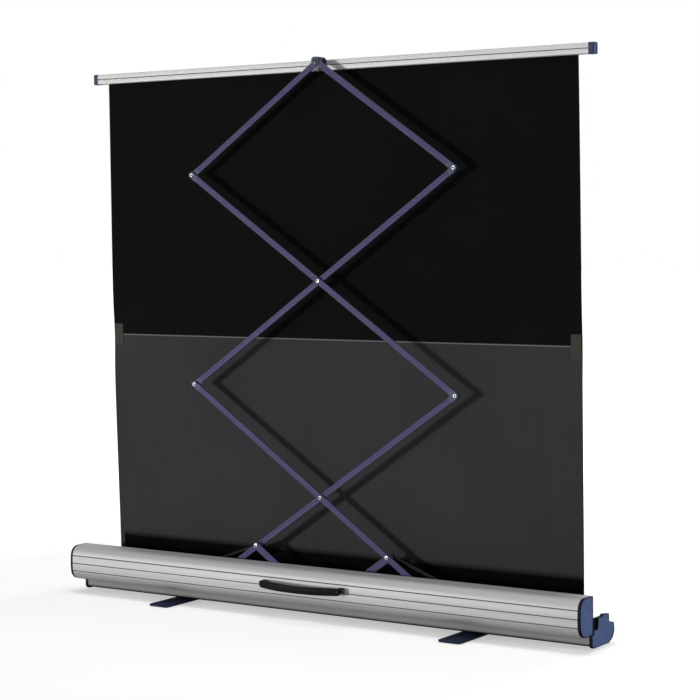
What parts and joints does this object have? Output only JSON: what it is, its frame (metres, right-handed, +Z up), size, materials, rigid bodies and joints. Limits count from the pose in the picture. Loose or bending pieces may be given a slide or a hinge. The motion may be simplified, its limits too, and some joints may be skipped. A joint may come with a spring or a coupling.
{
  "type": "portable projection screen",
  "caption": "Floor-standing pull-up projection screen: an aluminium case on swivel feet, a cloth on a spring roller and a scissor of flat arms that raises the top bar.",
  "frame": {"origin": "on the floor under the middle of the part's bounding box, which is the middle of the case and of the feet", "axes": "+X along the case, to the right seen from behind; +Y towards the audience; +Z up"},
  "size_m": [1.762, 0.3574, 1.6085],
  "materials": {
    "case_aluminium": "satin anodised extrusion",
    "bar_aluminium": "satin anodised extrusion",
    "cap_plastic": "moulded plastic, fine grain",
    "fitting_plastic": "moulded plastic",
    "arm_paint": "anodised flat tube",
    "pin_steel": "zinc plated",
    "bracket_steel": "black enamel",
    "spring_paint": "gloss black enamel",
    "rod_chrome": "ground and chromed",
    "black_plastic": "moulded plastic",
    "foot_paint": "powder coat",
    "pad_rubber": "moulded rubber",
    "cloth_upper": "coated cloth, black back",
    "cloth_lower": "ribbed grey cloth",
    "tab_vinyl": "coated tab"
  },
  "bodies": {
    "base": {"base_trough": "case_aluminium", "base_cap_left": "cap_plastic", "base_cap_right": "cap_plastic", "roller_bracket_left": "bracket_steel", "roller_bracket_right": "bracket_steel", "centre_bracket": "bracket_steel", "centre_bracket_screws": "pin_steel", "base_pivot_pin": "pin_steel", "gas_spring_anchors": "bracket_steel", "roller_spring_shaft": "pin_steel", "roller_spring": "pin_steel", "screen_fabric_upper": "cloth_upper", "screen_fabric_lower": "cloth_lower", "seam_tabs": "tab_vinyl", "foot_bolts": "pin_steel"},
    "roller": {"roller_tube": "case_aluminium", "roller_plug_right": "black_plastic", "roller_plug_left": "black_plastic", "wound_fabric": "cloth_upper"},
    "lid": {"lid_shell": "case_aluminium", "lid_cap_left": "cap_plastic", "lid_cap_right": "cap_plastic", "handle_brackets": "black_plastic", "handle_pins": "pin_steel"},
    "handle": {"carrying_handle": "black_plastic"},
    "foot_left": {"foot_left": "foot_paint", "foot_pads_left": "pad_rubber"},
    "foot_right": {"foot_right": "foot_paint", "foot_pads_right": "pad_rubber"},
    "link_front": {"link_front": "arm_paint", "link_front_pin": "pin_steel"},
    "link_back": {"link_back": "arm_paint", "link_back_pin": "pin_steel"},
    "lower_arm_front": {"lower_arm_front": "arm_paint", "lower_arm_front_fittings": "fitting_plastic", "lower_arm_front_rivets": "pin_steel"},
    "lower_arm_back": {"lower_arm_back": "arm_paint", "lower_arm_back_fittings": "fitting_plastic"},
    "upper_arm_front": {"upper_arm_front": "arm_paint", "upper_arm_front_fittings": "fitting_plastic", "upper_arm_front_rivets": "pin_steel"},
    "upper_arm_back": {"upper_arm_back": "arm_paint", "upper_arm_back_fittings": "fitting_plastic", "upper_arm_back_rivet": "pin_steel"},
    "top_arm_front": {"top_arm_front": "arm_paint", "top_arm_front_fittings": "fitting_plastic"},
    "top_arm_back": {"top_arm_back": "arm_paint", "top_arm_back_fittings": "fitting_plastic"},
    "slider_left": {"slider_left": "black_plastic"},
    "slider_right": {"slider_right": "black_plastic"},
    "gas_cylinder_left": {"gas_cylinder_left": "spring_paint"},
    "gas_cylinder_right": {"gas_cylinder_right": "spring_paint"},
    "gas_rod_left": {"gas_rod_left": "rod_chrome"},
    "gas_rod_right": {"gas_rod_right": "rod_chrome"},
    "top_bar": {"top_bar": "bar_aluminium", "bar_spline": "pin_steel", "bar_cap_left": "fitting_plastic", "bar_cap_right": "fitting_plastic", "apex_bracket": "fitting_plastic", "apex_pin": "pin_steel"}
  },
  "joints": [
    {"name": "screen_fold", "type": "hinge", "parent": "base", "child": "link_front", "pos_m": [0, -0.04, 0.035], "axis": [0, -1, 0], "range_deg": [0, 33.06], "deforming": ["screen_fabric_lower", "screen_fabric_upper", "seam_tabs"]},
    {"name": "link_back_pivot", "type": "hinge", "parent": "base", "child": "link_back", "pos_m": [0, -0.04, 0.035], "axis": [0, -1, 0], "range_deg": [-33.06, 0]},
    {"name": "lower_left_pivot", "type": "hinge", "parent": "link_front", "child": "lower_arm_back", "pos_m": [-0.22647, -0.04, 0.191], "axis": [0, -1, 0], "range_deg": [-66.15, 0]},
    {"name": "lower_cross_pivot", "type": "hinge", "parent": "lower_arm_back", "child": "lower_arm_front", "pos_m": [0, -0.04, 0.347], "axis": [0, -1, 0], "range_deg": [0, 66.15]},
    {"name": "middle_left_pivot", "type": "hinge", "parent": "lower_arm_front", "child": "upper_arm_back", "pos_m": [-0.45294, -0.04, 0.659], "axis": [0, -1, 0], "range_deg": [-66.15, 0]},
    {"name": "middle_right_pivot", "type": "hinge", "parent": "lower_arm_back", "child": "upper_arm_front", "pos_m": [0.45294, -0.04, 0.659], "axis": [0, -1, 0], "range_deg": [0, 66.15]},
    {"name": "upper_left_pivot", "type": "hinge", "parent": "upper_arm_front", "child": "top_arm_back", "pos_m": [-0.45294, -0.04, 1.28299], "axis": [0, -1, 0], "range_deg": [-66.15, 0]},
    {"name": "upper_right_pivot", "type": "hinge", "parent": "upper_arm_back", "child": "top_arm_front", "pos_m": [0.45294, -0.04, 1.28299], "axis": [0, -1, 0], "range_deg": [0, 66.15]},
    {"name": "apex_pivot", "type": "hinge", "parent": "top_arm_back", "child": "top_bar", "pos_m": [0, -0.04, 1.59499], "axis": [0, -1, 0], "range_deg": [0, 33.08]},
    {"name": "slider_left_pivot", "type": "hinge", "parent": "lower_arm_back", "child": "slider_left", "pos_m": [-0.45294, -0.04, 0.035], "axis": [0, -1, 0], "range_deg": [0, 33.08]},
    {"name": "slider_right_pivot", "type": "hinge", "parent": "lower_arm_front", "child": "slider_right", "pos_m": [0.45294, -0.04, 0.035], "axis": [0, -1, 0], "range_deg": [-33.08, 0]},
    {"name": "gas_pivot_left", "type": "hinge", "parent": "link_front", "child": "gas_cylinder_left", "pos_m": [-0.22647, -0.019, 0.191], "axis": [0, -1, 0], "range_deg": [-51.71, 0]},
    {"name": "gas_stroke_left", "type": "slide", "parent": "gas_cylinder_left", "child": "gas_rod_left", "axis": [-0.9388, 0, -0.3443], "range_m": [-0.07658, 0]},
    {"name": "gas_pivot_right", "type": "hinge", "parent": "link_back", "child": "gas_cylinder_right", "pos_m": [0.22647, -0.019, 0.191], "axis": [0, -1, 0], "range_deg": [0, 51.71]},
    {"name": "gas_stroke_right", "type": "slide", "parent": "gas_cylinder_right", "child": "gas_rod_right", "axis": [0.9388, 0, -0.3443], "range_m": [-0.07658, 0]},
    {"name": "roller_turn", "type": "hinge", "parent": "base", "child": "roller", "pos_m": [0, 0.009, 0.038], "axis": [1, 0, 0], "range_deg": [-4091.57, 0]},
    {"name": "lid_hinge", "type": "hinge", "parent": "base", "child": "lid", "pos_m": [0, -0.0625, 0.0465], "axis": [-1, 0, 0], "range_deg": [0, 3]},
    {"name": "handle_swing", "type": "hinge", "parent": "lid", "child": "handle", "pos_m": [0, -0.1405, 0.104], "axis": [1, 0, 0], "range_deg": [-65, 55]},
    {"name": "foot_left_swivel", "type": "hinge", "parent": "base", "child": "foot_left", "pos_m": [-0.5037, 0, 0.01], "axis": [0, 0, 1], "range_deg": [0, 90]},
    {"name": "foot_right_swivel", "type": "hinge", "parent": "base", "child": "foot_right", "pos_m": [0.5037, 0, 0.01], "axis": [0, 0, -1], "range_deg": [0, 90]}
  ],
  "couplings": [
    {"joint": "link_back_pivot", "follows": "screen_fold", "ratio": -1},
    {"joint": "lower_left_pivot", "follows": "screen_fold", "ratio": -2},
    {"joint": "lower_cross_pivot", "follows": "screen_fold", "ratio": 2},
    {"joint": "middle_left_pivot", "follows": "screen_fold", "ratio": -2},
    {"joint": "middle_right_pivot", "follows": "screen_fold", "ratio": 2},
    {"joint": "upper_left_pivot", "follows": "screen_fold", "ratio": -2},
    {"joint": "upper_right_pivot", "follows": "screen_fold", "ratio": 2},
    {"joint": "apex_pivot", "follows": "screen_fold", "ratio": 1},
    {"joint": "slider_left_pivot", "follows": "screen_fold", "ratio": 1},
    {"joint": "slider_right_pivot", "follows": "screen_fold", "ratio": -1},
    {"joint": "gas_pivot_left", "follows": "screen_fold", "ratio": -1.5633},
    {"joint": "gas_stroke_left", "follows": "screen_fold", "m_per_rad": -0.13264},
    {"joint": "gas_pivot_right", "follows": "screen_fold", "ratio": 1.5633},
    {"joint": "gas_stroke_right", "follows": "screen_fold", "m_per_rad": -0.13264},
    {"joint": "roller_turn", "follows": "screen_fold", "ratio": -123.7}
  ]
}
